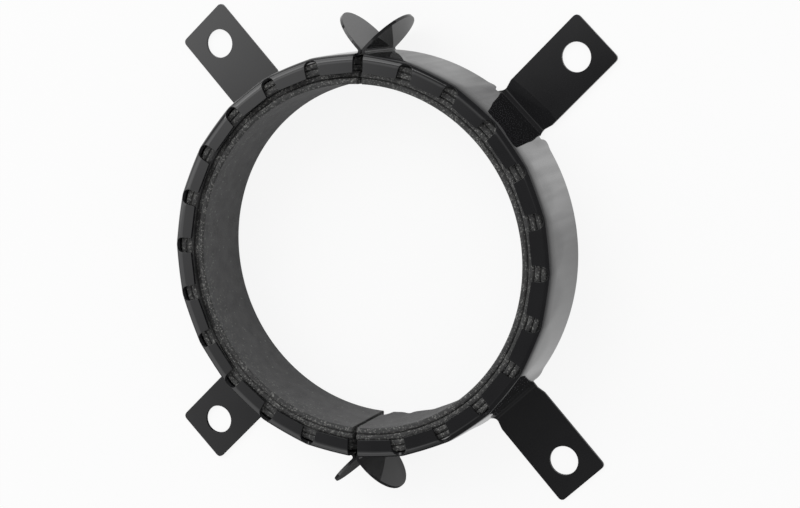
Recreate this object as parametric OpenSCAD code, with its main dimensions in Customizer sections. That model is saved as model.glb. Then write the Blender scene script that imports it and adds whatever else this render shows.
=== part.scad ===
// Fire collar for a plastic pipe: two folded steel half shells, each lined with four graphite strips.
// The collar lies on its wall face. +Z is the pipe axis, away from the wall, and z = 0 is the wall face.

/* [Pipe and lining] */
// Outside diameter of the pipe the collar closes round
pipe_d = 110; // [75:1:160]
// Clearance between the pipe and the innermost strip, each side
pipe_clear = 1; // [0.5:0.1:3]
// Thickness of one graphite strip
strip_t = 2; // [1.5:0.1:3]
// Clearance between two strips
strip_clear = 0.08; // [0.05:0.01:0.3]
// Distance of the strips from the wall face
strip_back = 0.5; // [0:0.1:3]
// Clearance between the strips and the tabs
strip_front = 0.6; // [0.2:0.1:2]
// Distance of the strip ends from the joint plane
strip_end = 0.75; // [0.2:0.05:1.5]

/* [Shell] */
// Thickness of the steel sheet
sheet_t = 1; // [0.6:0.1:1.5]
// Height of the shell, from the wall face to the face of the tabs
shell_h = 28.5; // [20:0.5:60]
// Clearance between the outermost strip and the flats of the band
shell_clear = 0.2; // [0.1:0.05:0.6]
// Height over which the flats at the front fade into the round band
flat_h = 11; // [8:1:25]
// Clearance between the two halves at the joint
joint_gap = 0.3; // [0.2:0.1:1]

/* [Tabs] */
// Number of tabs folded in at the front of each half
tab_count = 12; // [8:1:16]
// Length of a tab, from the outside of the band to its free edge
tab_len = 5.9; // [4:0.1:8]
// Inside radius of the fold between band and tab
fold_in = 1; // [0.5:0.1:2]
// Width of the notch between two tabs
notch_w = 5; // [3:0.1:7]
// Wall left outside the root of a notch
notch_wall = 0.65; // [0.4:0.05:1]

/* [Lugs] */
// Angle of a lug from the middle of its half
lug_angle = 46; // [40:0.5:50]
// Width of a lug
lug_w = 20; // [14:0.5:26]
// Length of a lug beyond the band
lug_len = 35.3; // [25:0.1:50]
// Diameter of the hole in a lug
hole_d = 9.7; // [5:0.1:11]
// Distance of the hole centre from the end of the lug
hole_edge = 9.8; // [8:0.1:14]
// Radius of the corners at the end of a lug
lug_corner = 1.5; // [0.5:0.1:4]
// Inside radius of the bend at the root of a lug
lug_bend = 3; // [1:0.1:5]
// Width of the relief cut in the band at each side of a lug
relief_w = 2; // [1:0.1:3]
// Radius of the band's corners at the relief cuts
relief_corner = 2.5; // [0.5:0.1:2.8]
// Radius of the bite at each side of a lug's bend
bite_r = 2.5; // [1.5:0.1:3.5]
// Depth of the bite
bite_depth = 0.8; // [0.3:0.1:1.4]

/* [Ears] */
// Distance of an ear from the wall face
ear_back = 0.3; // [0:0.1:5]
// Distance of an ear from the fold at the front
ear_front = 0.8; // [0.2:0.1:5]
// Length of the straight sides of an ear below its rounded end
ear_side = 2; // [1:0.1:6]
// Lean of an ear from the joint plane
ear_lean = 44; // [20:1:50]
// Inside radius of the bend at the root of an ear
ear_bend = 0.6; // [0.4:0.1:1.5]

/* [Hidden] */
lining_r = pipe_d / 2 + pipe_clear;
strip_pitch = strip_t + strip_clear;
lining_out = lining_r + 3 * strip_pitch + strip_t;
tab_pitch = 180 / tab_count;
strip_w = shell_h - sheet_t - strip_front - strip_back;
flat_r = lining_out + shell_clear + sheet_t;
// The corners of the flats stay a little inside the round band
corner_in = 0.05 * sheet_t;
shell_r = (flat_r + corner_in) / cos(tab_pitch / 2);
fold_r = fold_in + sheet_t;
// The fold stops a hair short of a full quarter turn
bend_z = shell_h - fold_r + 0.02 * sheet_t;
notch_r = shell_r - notch_wall;
flat_w = 2.4 * shell_r * sin(tab_pitch / 2);
flat_lean = atan((shell_r - flat_r) / flat_h);
joint_end = joint_gap / 2 + ear_bend + sheet_t;
lug_end = shell_r + lug_len;
lug_rise = sheet_t + lug_bend;
ear_r = (bend_z - ear_back - ear_front) / 2;
ear_z = ear_back + ear_r;
ear_y = shell_r - 0.15 * sheet_t;
// Reach of the cutting bodies, beyond the whole collar
far = 2 * lug_end;
black = [0.09, 0.09, 0.1];
graphite = [0.27, 0.27, 0.28];

// Everything outside one flat panel and its fold, in section: x is the radius, y the height
module outside_panel(flat, r) {
    polygon([
        [flat, bend_z],
        [flat + 2 * shell_h * tan(flat_lean), bend_z - 2 * shell_h],
        [far, bend_z - 2 * shell_h],
        [far, bend_z]
    ]);
    difference() {
        translate([flat - r, bend_z])
            square([far, 2 * r]);
        translate([flat - r, bend_z])
            circle(r = r, $fn = 64);
    }
}

// Round body with a flat panel and a rounded front edge for each tab
module panelled_body(r, flat, edge_r, h) {
    difference() {
        cylinder(h = h, r = r, $fn = 180);
        for (i = [0 : tab_count - 1])
            rotate([0, 0, (i + 0.5) * tab_pitch - 90])
                rotate([90, 0, 0])
                    linear_extrude(height = flat_w, center = true)
                        outside_panel(flat, edge_r);
    }
}

// Notch between two tabs in plan, with its rounded root outwards
module notch() {
    circle(d = notch_w, $fn = 48);
    translate([-2 * tab_len, -notch_w / 2])
        square([2 * tab_len, notch_w]);
}

// Cut for the root of a lug, seen from outside: x runs along the band, y is the height
module root_cut() {
    half = lug_w / 2 + relief_w;
    round_z = lug_rise - relief_w / 2;
    translate([-half, -far])
        square([2 * half, far + round_z]);
    translate([relief_w / 2 - half, 0])
        square([2 * half - relief_w, lug_rise]);
    translate([sheet_t - lug_w / 2, 0])
        square([lug_w - 2 * sheet_t, lug_rise + sheet_t / 2]);
    for (s = [0, 1])
        mirror([s, 0]) {
            translate([half - relief_w / 2, round_z])
                circle(d = relief_w, $fn = 32);
            difference() {
                translate([half - relief_corner, -relief_corner])
                    square([2 * relief_corner, 2 * relief_corner]);
                translate([half + relief_corner, relief_corner])
                    circle(r = relief_corner, $fn = 32);
            }
        }
}

// Band and tabs of one half, folded from one sheet, with the cuts for the roots of its two lugs
module band() {
    tab_r = (flat_r - tab_len) / cos(tab_pitch / 2);
    difference() {
        panelled_body(shell_r, flat_r, fold_r, shell_h);
        panelled_body(shell_r - sheet_t, flat_r - sheet_t, fold_in, shell_h - sheet_t);
        translate([0, 0, -shell_h])
            cylinder(h = shell_h + sheet_t, r = shell_r - sheet_t, $fn = 180);
        translate([0, 0, bend_z])
            linear_extrude(height = shell_h)
                polygon([for (i = [0 : 2 * tab_count - 1]) tab_r * [cos(i * tab_pitch), sin(i * tab_pitch)]]);
        for (i = [1 : tab_count - 1])
            rotate([0, 0, i * tab_pitch - 90])
                translate([notch_r - notch_w / 2, 0, bend_z + 0.1 * sheet_t])
                    linear_extrude(height = shell_h)
                        notch();
        translate([joint_end - far, -far, -far])
            cube([far, 2 * far, 2 * far]);
        for (a = [-lug_angle, lug_angle])
            rotate([0, 0, a])
                translate([lining_r, 0, 0])
                    rotate([90, 0, 90])
                        linear_extrude(height = far)
                            root_cut();
    }
}

// Bend and plate of a lug in section: x is the radius, y the height
module lug_section() {
    translate([shell_r + lug_bend, lug_rise])
        intersection() {
            difference() {
                circle(r = lug_rise, $fn = 48);
                circle(r = lug_bend, $fn = 48);
            }
            translate([-lug_rise, -lug_rise])
                square([lug_rise, lug_rise]);
        }
    translate([shell_r + lug_bend, 0])
        square([lug_len, sheet_t]);
    // Leg that runs on up the wall of the band
    translate([shell_r - sheet_t, lug_rise])
        square([sheet_t, sheet_t]);
}

// Outline of a lug in plan, with its two rounded corners
module lug_plan() {
    translate([lining_r, -lug_w / 2])
        square([lug_end - lug_corner - lining_r, lug_w]);
    translate([lug_end - 2 * lug_corner, lug_corner - lug_w / 2])
        square([2 * lug_corner, lug_w - 2 * lug_corner]);
    for (s = [-1, 1])
        translate([lug_end - lug_corner, s * (lug_w / 2 - lug_corner)])
            circle(r = lug_corner, $fn = 32);
}

// Two fixing lugs bent out of the back edge of the band
module lugs() {
    difference() {
        intersection() {
            rotate_extrude($fn = 180)
                lug_section();
            for (a = [-lug_angle, lug_angle])
                rotate([0, 0, a])
                    translate([0, 0, -shell_h])
                        linear_extrude(height = 2 * shell_h)
                            lug_plan();
        }
        for (a = [-lug_angle, lug_angle])
            rotate([0, 0, a]) {
                translate([lug_end - hole_edge, 0, -shell_h])
                    cylinder(h = 2 * shell_h, d = hole_d, $fn = 48);
                for (s = [-1, 1])
                    translate([shell_r + lug_bend / 2, s * (lug_w / 2 + bite_r - bite_depth), -shell_h])
                        cylinder(h = shell_h + lug_rise + sheet_t / 4, r = bite_r, $fn = 48);
            }
    }
}

// Bend and plate of an ear seen along the pipe, at the joint above the middle of the collar
module ear_section() {
    outer = ear_bend + sheet_t;
    translate([joint_end, ear_y + ear_bend]) {
        intersection() {
            difference() {
                circle(r = outer, $fn = 48);
                circle(r = ear_bend, $fn = 48);
            }
            polygon([
                [0, 0],
                [0, -3 * outer],
                [-3 * outer, -3 * outer],
                [-3 * outer, 3 * outer * tan(ear_lean)]
            ]);
        }
        rotate([0, 0, -ear_lean])
            translate([-outer, 0])
                square([sheet_t, ear_side + ear_r]);
    }
    // Core that runs on into the wall of the band
    translate([joint_end - 0.2 * sheet_t, shell_r - 0.85 * sheet_t])
        square([1.2 * sheet_t, 0.3 * sheet_t]);
}

// Rounded ear bent back at the joint, on the +Y end of the half
module ear() {
    intersection() {
        translate([0, 0, ear_z - ear_r])
            linear_extrude(height = 2 * ear_r)
                ear_section();
        translate([joint_end, ear_y + ear_bend, ear_z])
            rotate([0, 0, -ear_lean])
                union() {
                    // The round crosses the straight sides instead of grazing them
                    translate([0, ear_side, 0])
                        rotate([0, 90, 0])
                            cylinder(h = far, r = ear_r + 0.03 * sheet_t, center = true, $fn = 96);
                    translate([-far / 2, ear_side - far, -far / 2])
                        cube([far, far, far]);
                }
    }
}

// One folded half shell, on the +X side of the joint plane
module half_shell() {
    band();
    lugs();
    ear();
    mirror([0, 1, 0])
        ear();
}

// One graphite strip of the half on the +X side, counted from the pipe
module half_strip(i) {
    inner = lining_r + i * strip_pitch;
    difference() {
        translate([0, 0, strip_back])
            cylinder(h = strip_w, r = inner + strip_t, $fn = 180);
        translate([0, 0, -shell_h])
            cylinder(h = 3 * shell_h, r = inner, $fn = 180);
        translate([strip_end - far, -far, -far])
            cube([far, 2 * far, 2 * far]);
    }
}

module right_shell() {
    color(black)
        half_shell();
}

module right_strip_outer() {
    color(graphite)
        half_strip(3);
}

module right_strip_third() {
    color(graphite)
        half_strip(2);
}

module right_strip_second() {
    color(graphite)
        half_strip(1);
}

module right_strip_inner() {
    color(graphite)
        half_strip(0);
}

module left_shell() {
    color(black)
        rotate([0, 0, 180])
            half_shell();
}

module left_strip_outer() {
    color(graphite)
        rotate([0, 0, 180])
            half_strip(3);
}

module left_strip_third() {
    color(graphite)
        rotate([0, 0, 180])
            half_strip(2);
}

module left_strip_second() {
    color(graphite)
        rotate([0, 0, 180])
            half_strip(1);
}

module left_strip_inner() {
    color(graphite)
        rotate([0, 0, 180])
            half_strip(0);
}

right_shell();
right_strip_outer();
right_strip_third();
right_strip_second();
right_strip_inner();
left_shell();
left_strip_outer();
left_strip_third();
left_strip_second();
left_strip_inner();
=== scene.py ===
import math

import bmesh
import bpy
from mathutils import Matrix, Vector, noise


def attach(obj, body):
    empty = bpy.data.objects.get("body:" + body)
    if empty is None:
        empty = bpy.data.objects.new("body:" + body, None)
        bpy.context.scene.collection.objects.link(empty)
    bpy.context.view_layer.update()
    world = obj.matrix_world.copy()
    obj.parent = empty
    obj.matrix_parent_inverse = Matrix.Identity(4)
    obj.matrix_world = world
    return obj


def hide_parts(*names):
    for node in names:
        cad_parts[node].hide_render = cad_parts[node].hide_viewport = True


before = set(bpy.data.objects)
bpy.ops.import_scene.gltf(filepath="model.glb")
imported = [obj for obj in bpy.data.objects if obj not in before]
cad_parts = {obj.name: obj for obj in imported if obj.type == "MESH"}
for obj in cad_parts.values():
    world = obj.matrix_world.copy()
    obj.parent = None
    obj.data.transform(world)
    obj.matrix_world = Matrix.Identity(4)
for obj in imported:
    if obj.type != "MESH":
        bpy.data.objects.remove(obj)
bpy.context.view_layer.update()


# Half shells: each is one blank of 1 mm sheet steel, cut with its tabs, lugs and ears, rolled round the
# lining, its tabs folded in at the front, its lugs bent out at the back and its ears bent back at the
# joint, then coated gloss black. The left one is the same piece turned half a turn. Sizes are in mm.
sheet_t = 1.0
band_r = 66.055
joint_x = 1.75

# Panels and tabs: the band is flat behind each tab, and the flats fade into the round of it.
tab_count = 12
half_pitch = math.radians(90 / tab_count)
flat_r = 65.44
flat_h = 11.0
flat_slope = (band_r - flat_r) / flat_h
flat_swell = 0.25
corner_draw = 0.15
soft_line = 0.14
soft_h = 4.0
fold_r = 2.0
fold_z = 26.5
front_z = 28.5
tab_edge = flat_r - 5.9
notch_half = 2.5
notch_mid = 62.905

# Lugs: each has a hole, a bite at each side of its bend, and a relief cut at each side of its root, where
# the band is drawn flat.
lug_turn = math.radians(46)
lug_half = 10.0
lug_end = 101.355
lug_corner = 1.5
hole_r = 4.85
hole_edge = 9.8
hole_at = lug_end - hole_edge
bend_r = 1.8
bend_hold = 0.4
bite_r = 2.5
bite_depth = 0.8
bite_x = band_r + 1.5
root_x = 65.6
root_turn = math.radians(13.5)
root_fade = math.radians(4.8)
root_top = 18.0
root_h = 13.0
relief_w = 1.2
relief_corner = 2.2
relief_round = 0.4
relief_turn = math.asin((lug_half + relief_w + relief_corner) / band_r)

# Ears: half round, and bent back at the ends of the band.
ear_back = 0.3
ear_mid = 13.01
ear_r = 12.71
ear_y = band_r - 0.15
ear_turn = math.radians(44)
ear_bend = 0.6

# The blank is a grid. Columns run along the band and out into the ears. Rows run from the end of the lugs,
# over the band, to the free edge of the tabs, and row 0 is the band's back edge. The columns gather at the
# sides of the lugs from gather_top down.
tab_cols = 22
mid_col = tab_cols // 2
notch_cols = 5
band_cols = tab_count * tab_cols
ear_bend_cols = 6
ear_side_cols = 2
ear_round_cols = 8
ear_cols = ear_bend_cols + ear_side_cols + ear_round_cols
lug_col = 3 * tab_cols
lug_cols = 12
relief_cols = 16
foot_cols = 20
lug_mid = {lug_col: -lug_turn, band_cols - lug_col: lug_turn}
gather_top = 20.0
gather_h = 15.0
band_z = [0, 0.8, 1.6, 2.4, 3.2, 6.2, 9, 11.5, 14, 16.5, 19, 21.5, 23.6, 25.72, fold_z]
root_row = 4
bend_rows = 6
hold_row = root_row - bend_rows - 1
hole_row = 20
hole_rows = 4
plain_rows = 10
plate_row = lug_cols - hole_row
lug_rows = 32
fold_rows = 5
tab_rows = 3
fold_row = len(band_z) - 1
tab_row = fold_row + fold_rows


def smooth(part):
    """A share kept between 0 and 1, with a soft start and a soft end."""
    part = min(max(part, 0), 1)
    return part * part * (3 - 2 * part)


def in_plan(x, y, turn, z):
    """The point x out and y across, on a panel or a lug that stands at turn."""
    return Vector((x * math.cos(turn) - y * math.sin(turn), x * math.sin(turn) + y * math.cos(turn), z))


def side_x(part):
    """Distance from the pipe axis, square to its panel, at which a column of the notch ends."""
    a = math.pi / 2 * part / notch_cols
    along = notch_mid + notch_half * math.cos(a)
    return along * math.cos(half_pitch) + notch_half * math.sin(a) * math.sin(half_pitch)


tab_root = side_x(notch_cols)


def panel_turn(i):
    return (2 * i + 1) * half_pitch - math.pi / 2


def panel_of(c):
    """Turn of the panel that column c lies on, its side of it, and its number from the panel's edge."""
    i = min(c // tab_cols, tab_count - 1)
    j = c - tab_cols * i
    return (panel_turn(i), -1, j) if j <= mid_col else (panel_turn(i), 1, tab_cols - j)


def at_joint(c):
    return c <= mid_col or c >= band_cols - mid_col


def across(c, x):
    """Place of column c across its panel, at distance x from the pipe axis."""
    _, side, part = panel_of(c)
    edge = x * math.tan(half_pitch)
    if at_joint(c):
        return side * (edge - joint_x / math.cos(half_pitch)) * (mid_col - part) / mid_col
    if part <= notch_cols:
        a = math.pi / 2 * part / notch_cols
        return side * (edge - notch_half * math.sin(a) / math.cos(half_pitch))
    return side * (edge - notch_half / math.cos(half_pitch)) * (mid_col - part) / (mid_col - notch_cols)


def swell(off):
    """How far a panel's fold lies out from its flat, at turn off from its middle: its corners are drawn in."""
    return flat_swell * (1 - min(abs(off) / half_pitch, 1) ** 2) - corner_draw


def back_turn(c):
    """Turn of column c at the back edge."""
    flip = -1 if c < band_cols / 2 else 1
    k = c - band_cols + lug_col if flip > 0 else lug_col - c
    out = abs(k)
    if out > foot_cols:
        part = (out - foot_cols) / (lug_col - foot_cols)
        if k < 0:
            return flip * (lug_turn - relief_turn) * (1 - part)
        start = lug_turn + relief_turn
        return flip * (start + part * (math.acos(joint_x / band_r) - start))
    if out <= lug_cols:
        y = lug_half * out / lug_cols
    elif out <= relief_cols:
        y = lug_half + relief_w * (out - lug_cols) / (relief_cols - lug_cols)
    else:
        y = lug_half + relief_w + relief_corner * (out - relief_cols) / (foot_cols - relief_cols)
    return flip * (lug_turn + math.copysign(math.asin(y / band_r), k))


def wall_r(turn, z):
    """Radius of the band's outside: flat at the front, round at the back, drawn flat at the lugs' roots."""
    i = min(max(int((turn + math.pi / 2) // (2 * half_pitch)), 0), tab_count - 1)
    off = turn - panel_turn(i)
    down = fold_z - z
    flat = (flat_r + swell(off) * max(1 - down / flat_h, 0) + down * flat_slope) / math.cos(off)
    soft = soft_line * min(1, down / soft_h) + 1e-6
    near = max(soft - abs(flat - band_r), 0) / soft
    r = min(flat, band_r) - near * near * soft / 4
    from_lug = abs(abs(turn) - lug_turn)
    drawn = smooth((root_turn - from_lug) / root_fade) * smooth((root_top - z) / root_h)
    return r + (root_x / math.cos(from_lug) - r) * drawn


def band_point(c, k):
    z = band_z[k]
    out = min(abs(c - m) for m in lug_mid)
    if k <= root_row and relief_cols <= out <= foot_cols:
        part = (foot_cols - out) / (foot_cols - relief_cols)
        foot = relief_corner - relief_corner * math.sqrt(1 - part ** 2)
        z = foot + (band_z[root_row] - foot) * z / band_z[root_row]
    if k == root_row and lug_cols < out < relief_cols:
        part = (out - lug_cols) / (relief_cols - lug_cols)
        z += relief_round * math.sin(math.pi * part) ** 0.6
    turn = panel_of(c)[0] + math.atan2(across(c, flat_r), flat_r)
    if c in (0, band_cols):
        z = max(z, ear_back)
    else:
        turn += (back_turn(c) - turn) * smooth((gather_top - z) / gather_h)
    r = wall_r(turn, z)
    return Vector((r * math.cos(turn), r * math.sin(turn), z))


def tab_point(c, k):
    turn, _, part = panel_of(c)
    bulge = swell(math.atan2(across(c, flat_r), flat_r))
    x_end = side_x(part) if part < notch_cols and not at_joint(c) else tab_root
    if k <= tab_row:
        top = math.pi / 2 * fold_r
        core = flat_r - fold_r
        length = fold_r * math.acos((x_end - core) / fold_r) if x_end > core else top + core - x_end
        t = length * (k - fold_row) / fold_rows
        a = min(t / fold_r, math.pi / 2)
        x = core + fold_r * math.cos(a) - max(t - top, 0) + bulge
        z = fold_z + fold_r * math.sin(a)
    else:
        x = tab_root + bulge + (tab_edge - tab_root - bulge) * (k - tab_row) / tab_rows
        z = front_z
    return in_plan(x, across(c, x), turn, z)


def lug_point(c, k, mid):
    g = c - mid
    n = -k - hole_row
    y = lug_half * g / lug_cols
    if k > hold_row:
        a = math.pi / 2 * (root_row - k) / bend_rows
        x = root_x + bend_r - bend_r * math.cos(a)
        z = sheet_t + bend_r - bend_r * math.sin(a)
    else:
        x = root_x + bend_r + bend_hold
        x += (hole_at - hole_edge - x) * min((hold_row - k) / (hold_row - plate_row), 1)
        z = sheet_t
    bite = bite_r ** 2 - (x - bite_x) ** 2
    bite_out = bite_r - bite_depth
    if bite > bite_out ** 2:
        y *= (lug_half + bite_out - math.sqrt(bite)) / lug_half
    if k <= plate_row:
        x = hole_at + hole_edge * n / lug_cols
        ring = max(abs(n), abs(g))
        if hole_rows <= ring < plain_rows:
            w = (ring - hole_rows) / (plain_rows - hole_rows)
            reach = hole_r + (hole_edge * plain_rows / lug_cols - hole_r) * w
            a = math.pi / 4 * (g if abs(n) == ring else n) / ring
            near = (math.copysign(math.cos(a), n), math.sin(a))
            if abs(n) < ring:
                near = (math.sin(a), math.copysign(math.cos(a), g))
            x = hole_at + reach * (n / ring * w + near[0] * (1 - w))
            y = reach * (g / ring * w + near[1] * (1 - w))
        a = max(x - lug_end + lug_corner, 0) / lug_corner
        b = max(abs(y) - lug_half + lug_corner, 0) / lug_corner
        if a > 0 and b > 0:
            x = lug_end - lug_corner + lug_corner * a * math.sqrt(1 - b * b / 2)
            y = math.copysign(lug_half - lug_corner + lug_corner * b * math.sqrt(1 - a * a / 2), y)
    return in_plan(x, y, lug_mid[mid], z)


def ear_point(c, k):
    e = -c if c < 0 else c - band_cols
    z = max(band_z[k], ear_back)
    x, y = joint_x, ear_y + ear_bend
    if e <= ear_bend_cols:
        turn = -math.pi / 2 - (math.pi / 2 + ear_turn) * e / ear_bend_cols
        x += ear_bend * math.cos(turn)
        y += ear_bend * math.sin(turn) + (band_point(band_cols, k).y - ear_y) * (1 - e / ear_bend_cols)
    else:
        a = (z - ear_mid) / ear_r
        b = max(e - ear_cols + ear_round_cols, 0) / ear_round_cols
        t = min(e - ear_bend_cols, ear_side_cols) + ear_r * b * math.sqrt(1 - a * a / 2)
        z = ear_mid + ear_r * a * math.sqrt(1 - b * b / 2)
        x += t * math.sin(ear_turn) - ear_bend * math.cos(ear_turn)
        y += t * math.cos(ear_turn) + ear_bend * math.sin(ear_turn)
    return Vector((x, -y if c < 0 else y, z))


def blank_point(c, k):
    """Where the blank's point in column c and row k lies on the folded shell."""
    if c < 0 or c > band_cols:
        return ear_point(c, min(max(k, 0), fold_row - 1))
    mid = min(lug_mid, key=lambda m: abs(c - m))
    if k < root_row and abs(c - mid) <= lug_cols:
        return lug_point(c, k, mid)
    return band_point(c, max(k, 0)) if k <= fold_row else tab_point(c, k)


def in_blank(c, k):
    """Whether the cell between columns c and c + 1 and rows k and k + 1 is metal, and not cut away."""
    if c < 0 or c >= band_cols:
        return 0 <= k < fold_row - 1
    out = min(abs(c + 0.5 - m) for m in lug_mid)
    if k < 0:
        return out < lug_cols and not (out < hole_rows and abs(-k - 0.5 - hole_row) < hole_rows)
    if k < root_row:
        return not lug_cols < out < relief_cols
    if k < tab_row:
        return True
    return notch_cols < c % tab_cols + 0.5 < tab_cols - notch_cols or at_joint(c + 0.5)


def folded_shell(name, half_turn):
    cols = band_cols + 2 * ear_cols
    rows = lug_rows + tab_row + tab_rows
    bm = bmesh.new()
    bmesh.ops.create_grid(bm, x_segments=cols, y_segments=rows, size=0.5)
    cell = {}
    for v in bm.verts:
        cell[v] = round((v.co.x + 0.5) * cols) - ear_cols, round((v.co.y + 0.5) * rows) - lug_rows
    cut = [f for f in bm.faces if not in_blank(*(min(cell[v][i] for v in f.verts) for i in (0, 1)))]
    bmesh.ops.delete(bm, geom=cut, context="FACES")
    for v in bm.verts:
        v.co = blank_point(*cell[v]) * 0.001
    if half_turn:
        bmesh.ops.rotate(bm, verts=bm.verts[:], cent=(0, 0, 0), matrix=Matrix.Rotation(math.pi, 3, "Z"))
    for f in bm.faces:
        f.smooth = True
    mesh = bpy.data.meshes.new(name)
    bm.to_mesh(mesh)
    bm.free()
    shell = bpy.data.objects.new(name, mesh)
    bpy.context.scene.collection.objects.link(shell)
    wall = shell.modifiers.new("sheet", "SOLIDIFY")
    wall.thickness = sheet_t * 0.001
    wall.offset = -1
    wall.use_even_offset = True
    rim = shell.modifiers.new("rim", "BEVEL")
    rim.width = 0.00028
    rim.segments = 3
    rim.limit_method = "ANGLE"
    rim.angle_limit = math.radians(50)
    rim.harden_normals = True
    return shell


def feed(tree, socket, value):
    """Give a socket its value: another node's output, or a number of its own."""
    if isinstance(value, bpy.types.NodeSocket):
        tree.links.new(value, socket)
    else:
        socket.default_value = value


def ranged(tree, value, span, levels):
    """A value carried over from span to levels, and kept between them."""
    node = tree.nodes.new("ShaderNodeMapRange")
    for label, part in zip(("Value", "From Min", "From Max", "To Min", "To Max"), (value, *span, *levels)):
        feed(tree, node.inputs[label], part)
    return node.outputs["Result"]


def worked(tree, operation, first, second):
    """Two values worked into one, as operation says."""
    node = tree.nodes.new("ShaderNodeMath")
    node.operation = operation
    feed(tree, node.inputs[0], first)
    feed(tree, node.inputs[1], second)
    return node.outputs["Value"]


black_coat = bpy.data.materials.new("black_coat")
black_coat.use_nodes = True
tree = black_coat.node_tree
nodes, links = tree.nodes, tree.links
coat = nodes["Principled BSDF"]
coat.inputs["IOR"].default_value = 1.5
coat.inputs["Coat Roughness"].default_value = 0.03
coat.inputs["Coat IOR"].default_value = 1.5
spot = nodes.new("ShaderNodeTexCoord")
flow = nodes.new("ShaderNodeTexNoise")
flow.inputs["Scale"].default_value = 90
flow.inputs["Detail"].default_value = 3
links.new(spot.outputs["Object"], flow.inputs["Vector"])
tone = nodes.new("ShaderNodeMix")
tone.data_type = "RGBA"
tone.inputs["A"].default_value = (0.009, 0.009, 0.010, 1)
tone.inputs["B"].default_value = (0.014, 0.014, 0.015, 1)
links.new(flow.outputs["Fac"], tone.inputs["Factor"])
links.new(tone.outputs["Result"], coat.inputs["Base Color"])
gloss = ranged(tree, flow.outputs["Fac"], span=(0, 1), levels=(0.03, 0.06))
links.new(gloss, coat.inputs["Roughness"])

# The band keeps faint ripples from rolling, which run along the pipe.
parts = nodes.new("ShaderNodeSeparateXYZ")
links.new(spot.outputs["Object"], parts.inputs["Vector"])
lines = nodes.new("ShaderNodeCombineXYZ")
links.new(worked(tree, "ARCTAN2", parts.outputs["Y"], parts.outputs["X"]), lines.inputs["X"])
links.new(parts.outputs["Z"], lines.inputs["Y"])
ripple = nodes.new("ShaderNodeTexNoise")
ripple.noise_dimensions = "2D"
ripple.inputs["Scale"].default_value = 24
ripple.inputs["Detail"].default_value = 1
links.new(lines.outputs["Vector"], ripple.inputs["Vector"])
plan = nodes.new("ShaderNodeCombineXYZ")
links.new(parts.outputs["X"], plan.inputs["X"])
links.new(parts.outputs["Y"], plan.inputs["Y"])
reach = nodes.new("ShaderNodeVectorMath")
reach.operation = "LENGTH"
links.new(plan.outputs["Vector"], reach.inputs[0])
on_wall = ranged(tree, reach.outputs["Value"], span=(0.0662, 0.0668), levels=(1, 0))
below_fold = ranged(tree, parts.outputs["Z"], span=(0.022, 0.026), levels=(1, 0))
rolled = worked(tree, "MULTIPLY", on_wall, below_fold)
wall_bump = nodes.new("ShaderNodeBump")
wall_bump.inputs["Distance"].default_value = 0.00002
links.new(worked(tree, "MULTIPLY", ripple.outputs["Fac"], rolled), wall_bump.inputs["Height"])
links.new(wall_bump.outputs["Normal"], coat.inputs["Normal"])

# The coat lies on the band in streaks, most of all on its upper part. It is full on the flat faces, and thin
# on bends and cut edges, where it drew back: each start is a share of the shell's height.
upper = ranged(tree, parts.outputs["Y"], span=(-0.005, 0.025), levels=(0.96, 0.74))
streak = ranged(tree, ripple.outputs["Fac"], span=(0.35, 0.65), levels=(upper, 1.0))
draw_back = nodes.new("ShaderNodeValToRGB")
draw_back.color_ramp.interpolation = "CONSTANT"
draw_back.color_ramp.elements[0].color = (0, 0, 0, 1)
draw_back.color_ramp.elements[1].position = 0.996
draw_back.color_ramp.elements[1].color = (0.5, 0.5, 0.5, 1)
for start, weight in ((0.03, 0.5), (0.045, 0.2), (0.88, 0.05)):
    stop = draw_back.color_ramp.elements.new(start)
    stop.color = (weight, weight, weight, 1)
rise = ranged(tree, parts.outputs["Z"], span=(0, front_z * 0.001), levels=(0, 1))
links.new(rise, draw_back.inputs["Fac"])
film = nodes.new("ShaderNodeMix")
film.data_type = "FLOAT"
links.new(rolled, film.inputs["Factor"])
links.new(draw_back.outputs["Color"], film.inputs["A"])
links.new(streak, film.inputs["B"])
links.new(film.outputs["Result"], coat.inputs["Coat Weight"])

for name, half_turn in (("right_half_shell", False), ("left_half_shell", True)):
    shell = folded_shell(name, half_turn)
    shell.data.materials.append(black_coat)
    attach(shell, "root")
    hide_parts(name.replace("_half", ""))


# Lining: four strips of expanding graphite sheet, 2 mm thick, laid one inside the other in each shell.
# Their faces are rolled smooth, and their cut edges are grainy, with flakes that catch the light.
lining_r = 56.0
strip_t = 2.0
strip_clear = 0.08
strip_pitch = strip_t + strip_clear
strip_z = (0.5, 26.9)
strip_end = 0.75
strip_round = 0.7
fray_depth = 0.5
fray_up = 0.13
fray_out = 0.05
slip = 1.5
slip_end = math.radians(50)
slip_fade = math.radians(30)
cut_corner = 4.0
swollen = 0.75
swollen_length = 14.0
worn_length = 2.6
worn_height = 6.0
worn_in = 1.35
worn_up = 1.6
dents = ((0.55, 8.0, 1.6), (0.25, 17.0, 2.5))

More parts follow.
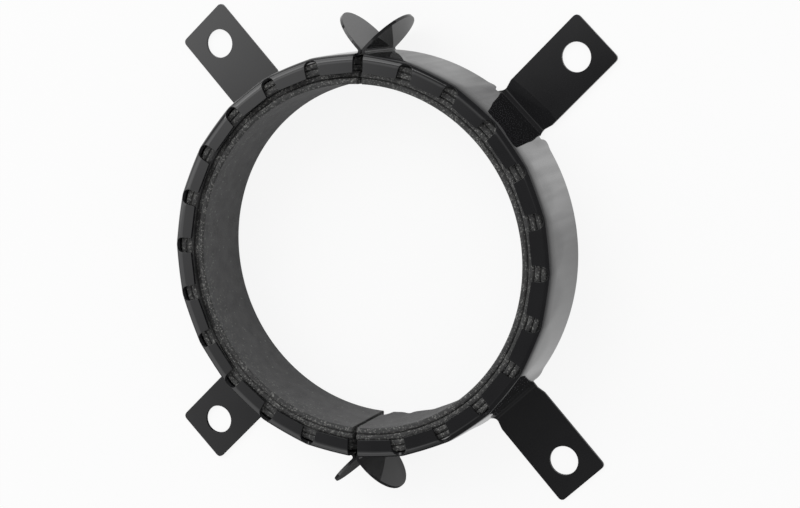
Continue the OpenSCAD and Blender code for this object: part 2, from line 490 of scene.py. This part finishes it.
grain = bpy.data.node_groups.new("graphite_grain", "ShaderNodeTree")
grain.interface.new_socket("Vector", in_out="INPUT", socket_type="NodeSocketVector")
grain.interface.new_socket("Scale", in_out="INPUT", socket_type="NodeSocketFloat")
grain.interface.new_socket("Rare", in_out="INPUT", socket_type="NodeSocketFloat")
grain.interface.new_socket("Flake", in_out="OUTPUT", socket_type="NodeSocketFloat")
grain.interface.new_socket("Patch", in_out="OUTPUT", socket_type="NodeSocketFloat")
grain.interface.new_socket("Height", in_out="OUTPUT", socket_type="NodeSocketFloat")
put_in = grain.nodes.new("NodeGroupInput")
put_out = grain.nodes.new("NodeGroupOutput")
lumps = grain.nodes.new("ShaderNodeTexNoise")
lumps.inputs["Detail"].default_value = 4
lumps.inputs["Roughness"].default_value = 0.65
flakes = grain.nodes.new("ShaderNodeTexVoronoi")
for texture in (lumps, flakes):
    grain.links.new(put_in.outputs["Vector"], texture.inputs["Vector"])
    grain.links.new(put_in.outputs["Scale"], texture.inputs["Scale"])
grain.links.new(lumps.outputs["Fac"], put_out.inputs["Height"])
pick = grain.nodes.new("ShaderNodeSeparateColor")
grain.links.new(flakes.outputs["Color"], pick.inputs["Color"])
bright = ranged(grain, pick.outputs["Red"], span=(put_in.outputs["Rare"], 1.0), levels=(0, 1))
grain.links.new(bright, put_out.inputs["Flake"])
patches = grain.nodes.new("ShaderNodeTexNoise")
patches.inputs["Scale"].default_value = 260
patches.inputs["Detail"].default_value = 4
grain.links.new(put_in.outputs["Vector"], patches.inputs["Vector"])
shade = ranged(grain, patches.outputs["Fac"], span=(0.3, 0.7), levels=(0.8, 1.15))
grain.links.new(shade, put_out.inputs["Patch"])


def graphite(name, dark, light, rare, scale, relief, rough):
    """Graphite with light flakes, the rarer the nearer rare is to 1: at the back and at the front of a strip."""
    made = bpy.data.materials.new(name)
    made.use_nodes = True
    tree = made.node_tree
    nodes, links = tree.nodes, tree.links
    body = nodes["Principled BSDF"]
    place = nodes.new("ShaderNodeTexCoord")
    height = nodes.new("ShaderNodeSeparateXYZ")
    links.new(place.outputs["Object"], height.inputs["Vector"])
    to_front = ranged(tree, height.outputs["Z"], span=(0.016, 0.0265), levels=rare)
    speck = nodes.new("ShaderNodeGroup")
    speck.node_tree = grain
    speck.inputs["Scale"].default_value = scale
    links.new(place.outputs["Object"], speck.inputs["Vector"])
    links.new(to_front, speck.inputs["Rare"])
    mix = nodes.new("ShaderNodeMix")
    mix.data_type = "RGBA"
    mix.inputs["A"].default_value = (*dark, 1)
    mix.inputs["B"].default_value = (*light, 1)
    links.new(speck.outputs["Flake"], mix.inputs["Factor"])
    cloud = nodes.new("ShaderNodeMix")
    cloud.data_type = "RGBA"
    cloud.blend_type = "MULTIPLY"
    cloud.inputs["Factor"].default_value = 1.0
    links.new(mix.outputs["Result"], cloud.inputs["A"])
    links.new(speck.outputs["Patch"], cloud.inputs["B"])
    links.new(cloud.outputs["Result"], body.inputs["Base Color"])
    sheen = ranged(tree, speck.outputs["Flake"], span=(0, 1), levels=rough)
    links.new(sheen, body.inputs["Roughness"])
    bump = nodes.new("ShaderNodeBump")
    bump.inputs["Strength"].default_value = relief
    bump.inputs["Distance"].default_value = 0.0003
    links.new(speck.outputs["Height"], bump.inputs["Height"])
    links.new(bump.outputs["Normal"], body.inputs["Normal"])
    return made


rolled_face = graphite(
    "graphite_rolled_face", dark=(0.08, 0.08, 0.081), light=(0.17, 0.175, 0.165), rare=(0.985, 0.86),
    scale=2200, relief=0.5, rough=(0.6, 0.5))
cut_edge = graphite(
    "graphite_cut_edge", dark=(0.045, 0.045, 0.045), light=(0.22, 0.22, 0.21), rare=(0.74, 0.74),
    scale=2600, relief=0.95, rough=(0.7, 0.4))


def used(spot, order, half_turn):
    """Where a point of a fresh strip lies once the strip is cut, laid in the shell and handled."""
    low, high = strip_z
    inner = lining_r + order * strip_pitch
    out = Vector((spot.x, spot.y, 0)).normalized()
    here = math.atan2(spot.y, spot.x)
    depth = (spot.xy.length - inner) / strip_t
    up = (spot.z - low) / (high - low)
    from_end = (math.pi / 2 - abs(here)) * inner - strip_end
    seed = Vector((7.1 * order, 40.0 * half_turn, 3.0 * order))
    edge = max(spot.z - high + fray_depth, low + fray_depth - spot.z, 0) / fray_depth
    point = spot.copy()
    point.z += math.copysign(fray_up * edge * (noise.noise(spot * 1.9 + seed) - 0.35), spot.z - 13)
    point += out * fray_out * edge * noise.noise(spot * 1.3 + seed.zxy)
    if order == 1 and half_turn:
        # The left second strip has slipped back from the tabs, all but its lower end
        point.z -= slip * smooth((slip_end - here) / slip_fade) * up
    if order > 1:
        # The two outer strips have their front corners cut off at the joints
        point.z -= max(cut_corner - from_end, 0) * up
    if order == 3:
        # The ends of the outermost strip are swollen out to the band
        room = wall_r(here, spot.z) - sheet_t - strip_clear - inner - strip_t - 0.25 * max(spot.z - 26, 0)
        point += out * depth * max(min(swollen * (1 - (from_end / swollen_length) ** 2), room), 0)
    if order == 0 and not half_turn:
        # The right inner strip is worn at the back, by the lower joint: a rounded corner and two dents
        from_low = (math.pi / 2 + here) * inner - strip_end
        back = max(1 - (spot.z - low) / worn_height, 0)
        corner = max(1 - from_low / worn_length, 0) ** 1.5
        dent = sum(deep * math.exp(-((from_low - at) / wide) ** 2) for deep, at, wide in dents)
        point += out * (1 - depth) * back * (dent + worn_in * corner)
        point.z += worn_up * corner * back
    return point


def graphite_strip(name, order, half_turn):
    inner = lining_r + order * strip_pitch
    outer = inner + strip_t
    turn = math.asin(strip_end / inner)
    low, high = strip_z
    bm = bmesh.new()
    corners = [bm.verts.new((x, 0, z)) for x, z in ((inner, low), (outer, low), (outer, high), (inner, high))]
    for i in range(4):
        bm.edges.new((corners[i], corners[i - 3]))
    bmesh.ops.bevel(
        bm, geom=corners, offset=strip_round, offset_type="OFFSET", segments=4, profile=0.5,
        affect="VERTICES", material=-1)
    across_edges = [e for e in bm.edges if abs(e.verts[0].co.z - e.verts[1].co.z) < 1e-4]
    along_edges = [e for e in bm.edges if abs(e.verts[0].co.z - e.verts[1].co.z) > 5]
    bmesh.ops.subdivide_edges(bm, edges=across_edges, cuts=4)
    bmesh.ops.subdivide_edges(bm, edges=along_edges, cuts=9)
    to_end = Matrix.Rotation(turn - math.pi / 2, 3, "Z")
    bmesh.ops.rotate(bm, verts=bm.verts[:], cent=(0, 0, 0), matrix=to_end)
    bmesh.ops.spin(
        bm, geom=bm.verts[:] + bm.edges[:], cent=(0, 0, 0), axis=(0, 0, 1), angle=math.pi - 2 * turn, steps=420)
    bmesh.ops.holes_fill(bm, edges=[e for e in bm.edges if e.is_boundary], sides=0)
    bmesh.ops.remove_doubles(bm, verts=bm.verts[:], dist=1e-4)
    bmesh.ops.recalc_face_normals(bm, faces=bm.faces[:])
    for f in bm.faces:
        f.smooth = len(f.verts) == 4
        f.material_index = 1 if abs(f.normal.z) > 0.5 or len(f.verts) > 4 else 0
    for v in bm.verts:
        v.co = used(v.co, order, half_turn) * 0.001
    if half_turn:
        bmesh.ops.rotate(bm, verts=bm.verts[:], cent=(0, 0, 0), matrix=Matrix.Rotation(math.pi, 3, "Z"))
    mesh = bpy.data.meshes.new(name)
    bm.to_mesh(mesh)
    bm.free()
    strip = bpy.data.objects.new(name, mesh)
    bpy.context.scene.collection.objects.link(strip)
    strip.data.materials.append(rolled_face)
    strip.data.materials.append(cut_edge)
    return strip


for half, half_turn in (("right", False), ("left", True)):
    for order, place_name in enumerate(("inner", "second", "third", "outer")):
        strip = graphite_strip(f"{half}_graphite_{place_name}", order, half_turn)
        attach(strip, "root")
        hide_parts(f"{half}_strip_{place_name}")


# Floor: a wide white board under the collar. It shows white to the camera and keeps the collar's own soft
# shadow. In the gloss of the coat it shows painted light and shade: a painted light patch, lightest to the
# right, painted shade above the upper right lug, and painted shade from the collar's lower edge down.
# Centres and reaches of the painted light and painted shade on the board, which only the coat's gloss sees.
painted_light_spot = (0.062, 0.04, 0)
painted_light_reach = (0.008, 0.036)
painted_dim_spot = (0.038, 0.06, 0)
painted_dim_reach = (0.004, 0.022)
painted_dark_slant = (0.35, 1, 0)
painted_dark_reach = (-0.077, -0.067)
board_bm = bmesh.new()
bmesh.ops.create_grid(board_bm, x_segments=8, y_segments=8, size=3)
bmesh.ops.translate(board_bm, verts=board_bm.verts[:], vec=(0, 0, -0.00005))
board_mesh = bpy.data.meshes.new("white_board")
board_bm.to_mesh(board_mesh)
board_bm.free()
board = bpy.data.objects.new("white_board", board_mesh)
bpy.context.scene.collection.objects.link(board)
white = bpy.data.materials.new("white_board")
white.use_nodes = True
tree = white.node_tree
nodes, links = tree.nodes, tree.links
nodes.remove(nodes["Principled BSDF"])
seen = nodes.new("ShaderNodeLightPath")
place = nodes.new("ShaderNodeTexCoord")


def on_board(operation, mark):
    """How far a place on the board lies from mark, or along it."""
    node = nodes.new("ShaderNodeVectorMath")
    node.operation = operation
    node.inputs[1].default_value = mark
    links.new(place.outputs["Object"], node.inputs[0])
    return node.outputs["Value"]


in_gloss = worked(tree, "MAXIMUM", seen.outputs["Is Glossy Ray"], seen.outputs["Is Transmission Ray"])
# Painted shade for glossy rays: dark from the collar's lower edge down, and dimmer above the upper right lug.
painted_dark_below = ranged(tree, on_board("DOT_PRODUCT", painted_dark_slant), span=painted_dark_reach, levels=(1.0, 0.0))
painted_dim_by_lug = ranged(tree, on_board("DISTANCE", painted_dim_spot), span=painted_dim_reach, levels=(0.4, 0.0))
painted_shade = worked(tree, "MAXIMUM", painted_dark_below, painted_dim_by_lug)
# For glossy rays the paper turns from white to a painted dark grey where the painted shade lies.
paper_and_painted_shade = nodes.new("ShaderNodeMix")
paper_and_painted_shade.data_type = "RGBA"
paper_and_painted_shade.inputs["A"].default_value = (0.9, 0.9, 0.9, 1)
paper_and_painted_shade.inputs["B"].default_value = (0.1, 0.1, 0.1, 1)
links.new(worked(tree, "MULTIPLY", painted_shade, in_gloss), paper_and_painted_shade.inputs["Factor"])
paper = nodes.new("ShaderNodeBsdfDiffuse")
links.new(paper_and_painted_shade.outputs["Result"], paper.inputs["Color"])
glow = nodes.new("ShaderNodeEmission")
glow.inputs["Color"].default_value = (1, 1, 1, 1)
# A painted light patch: the board glows for glossy rays, most to the right of the collar, and not where the
# painted shade lies.
painted_light_patch = ranged(tree, on_board("DISTANCE", painted_light_spot), span=painted_light_reach, levels=(0.95, 0.24))
painted_light_patch.node.interpolation_type = "SMOOTHSTEP"
painted_light = worked(tree, "MULTIPLY", painted_light_patch, worked(tree, "SUBTRACT", 1.0, painted_shade))
to_gloss = worked(tree, "MULTIPLY", in_gloss, painted_light)
to_eye = worked(tree, "MULTIPLY", seen.outputs["Is Camera Ray"], 0.88)
blend = nodes.new("ShaderNodeMixShader")
links.new(worked(tree, "MAXIMUM", to_eye, to_gloss), blend.inputs["Fac"])
links.new(paper.outputs["BSDF"], blend.inputs[1])
links.new(glow.outputs["Emission"], blend.inputs[2])
links.new(blend.outputs["Shader"], nodes["Material Output"].inputs["Surface"])
board.data.materials.append(white)


# Studio: an even pale room, a little brighter on the right. In the gloss of the coat it shows as a dim room
# with one bright panel at the left. A wide soft lamp hangs at the upper left, and the camera stands at the
# photograph's viewing angle.
scene = bpy.context.scene
scene.view_settings.view_transform = "Standard"
room = bpy.data.worlds.new("studio")
scene.world = room
room.use_nodes = True
tree = room.node_tree
nodes, links = tree.nodes, tree.links
ambient = nodes["Background"]
ambient.inputs["Color"].default_value = (1, 1, 1, 1)
look = nodes.new("ShaderNodeTexCoord")
sides = nodes.new("ShaderNodeSeparateXYZ")
links.new(look.outputs["Generated"], sides.inputs["Vector"])
overhead = nodes.new("ShaderNodeVectorMath")
overhead.operation = "DOT_PRODUCT"
overhead.inputs[1].default_value = Vector((-0.2, -0.25, 1)).normalized()
links.new(look.outputs["Generated"], overhead.inputs[0])
fade = ranged(tree, overhead.outputs["Value"], span=(0.93, 0.98), levels=(1.55, 0.0))
left = ranged(tree, sides.outputs["X"], span=(-0.25, 0.05), levels=(1.0, 0.0))
top = ranged(tree, sides.outputs["Y"], span=(-0.25, 0.55), levels=(0.0, 1.0))
rows = nodes.new("ShaderNodeValToRGB")
rows.color_ramp.elements[0].color = (0.57, 0.57, 0.57, 1)
rows.color_ramp.elements[1].color = (0.13, 0.13, 0.13, 1)
for start, share in ((0.16, 0.63), (0.24, 1.0), (0.31, 1.0), (0.42, 0.67), (0.58, 0.15)):
    stop = rows.color_ramp.elements.new(start)
    stop.color = (share, share, share, 1)
links.new(top, rows.inputs["Fac"])
panel = worked(tree, "MULTIPLY", worked(tree, "MULTIPLY", fade, left), rows.outputs["Color"])
dim_room = worked(tree, "ADD", panel, 0.12)
pale_room = ranged(tree, sides.outputs["X"], span=(-0.6, 0.6), levels=(0.42, 0.76))
seen = nodes.new("ShaderNodeLightPath")
in_gloss = nodes.new("ShaderNodeMix")
in_gloss.data_type = "FLOAT"
links.new(seen.outputs["Is Glossy Ray"], in_gloss.inputs["Factor"])
links.new(pale_room, in_gloss.inputs["A"])
links.new(dim_room, in_gloss.inputs["B"])
to_eye = nodes.new("ShaderNodeMix")
to_eye.data_type = "FLOAT"
to_eye.inputs["B"].default_value = 1.0
links.new(seen.outputs["Is Camera Ray"], to_eye.inputs["Factor"])
links.new(in_gloss.outputs["Result"], to_eye.inputs["A"])
links.new(to_eye.outputs["Result"], ambient.inputs["Strength"])


def soft_lamp(name, spot, size, power):
    lamp = bpy.data.lights.new(name, "AREA")
    lamp.shape = "RECTANGLE"
    lamp.size, lamp.size_y = size
    lamp.energy = power
    holder = bpy.data.objects.new(name, lamp)
    holder.location = spot
    holder.rotation_mode = "QUATERNION"
    holder.rotation_quaternion = (-Vector(spot)).to_track_quat("-Z", "Y")
    scene.collection.objects.link(holder)


soft_lamp("upper_left_lamp", (-1.3, 1.35, 1.4), (2.2, 2.2), 33.0)

focal_px = 1926.20
photo_width_px = 800
eye_back, eye_right, eye_down = 0.64536, 0.003613, 0.002266
az, el, roll = math.radians(22.308), math.radians(8.937), math.radians(0.971)
eye = bpy.data.cameras.new("photo_camera")
eye.sensor_fit = "HORIZONTAL"
eye.sensor_width = 36
eye.lens = focal_px * eye.sensor_width / photo_width_px
eye.clip_start, eye.clip_end = 0.01, 20
stand = bpy.data.objects.new("photo_camera", eye)
back = Vector((math.sin(az) * math.cos(el), math.sin(el), math.cos(az) * math.cos(el)))
right = Vector((0, 1, 0)).cross(back).normalized()
up = back.cross(right)
right, up = right * math.cos(roll) + up * math.sin(roll), up * math.cos(roll) - right * math.sin(roll)
stand.matrix_world = Matrix((right, up, back)).transposed().to_4x4()
stand.location = back * eye_back + right * eye_right - up * eye_down
scene.collection.objects.link(stand)
scene.camera = stand
